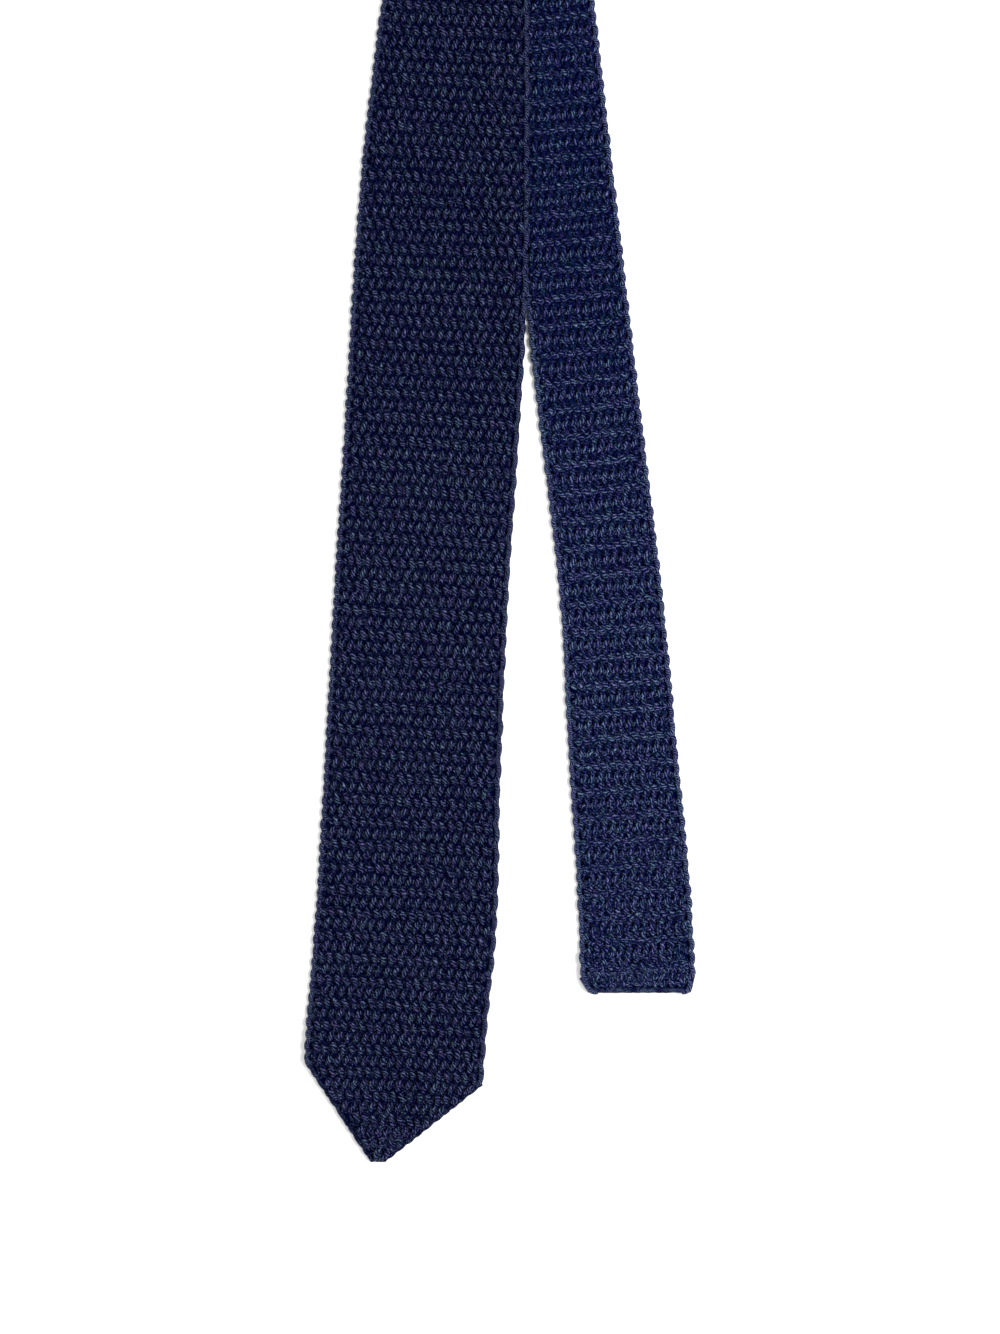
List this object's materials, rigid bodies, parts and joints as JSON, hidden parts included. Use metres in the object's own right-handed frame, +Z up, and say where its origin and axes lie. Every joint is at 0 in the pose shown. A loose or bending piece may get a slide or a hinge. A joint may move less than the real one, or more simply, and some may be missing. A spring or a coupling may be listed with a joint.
{
  "type": "knit tie",
  "caption": "Navy silk crochet-knit necktie with a pointed front blade and a square tail, lying flat and folded once at the neck.",
  "frame": {"origin": "on the surface that the tie lies on, under the middle of its outer box", "axes": "+X across the tie towards the tail blade, +Y from the point towards the fold, +Z up"},
  "size_m": [0.152, 0.7708, 0.0084],
  "materials": {
    "front_knit": "navy crochet-knit silk yarn, right side",
    "neck_knit": "navy crochet-knit silk yarn",
    "tail_knit": "navy crochet-knit silk yarn, reverse side",
    "hem_knit": "navy crochet-knit silk yarn, turned under"
  },
  "bodies": {
    "root": {"front_blade": "front_knit", "neck_band": "neck_knit", "tail_blade": "tail_knit", "tip_hem_left": "hem_knit", "tip_hem_right": "hem_knit", "tail_hem": "hem_knit"}
  },
  "joints": []
}
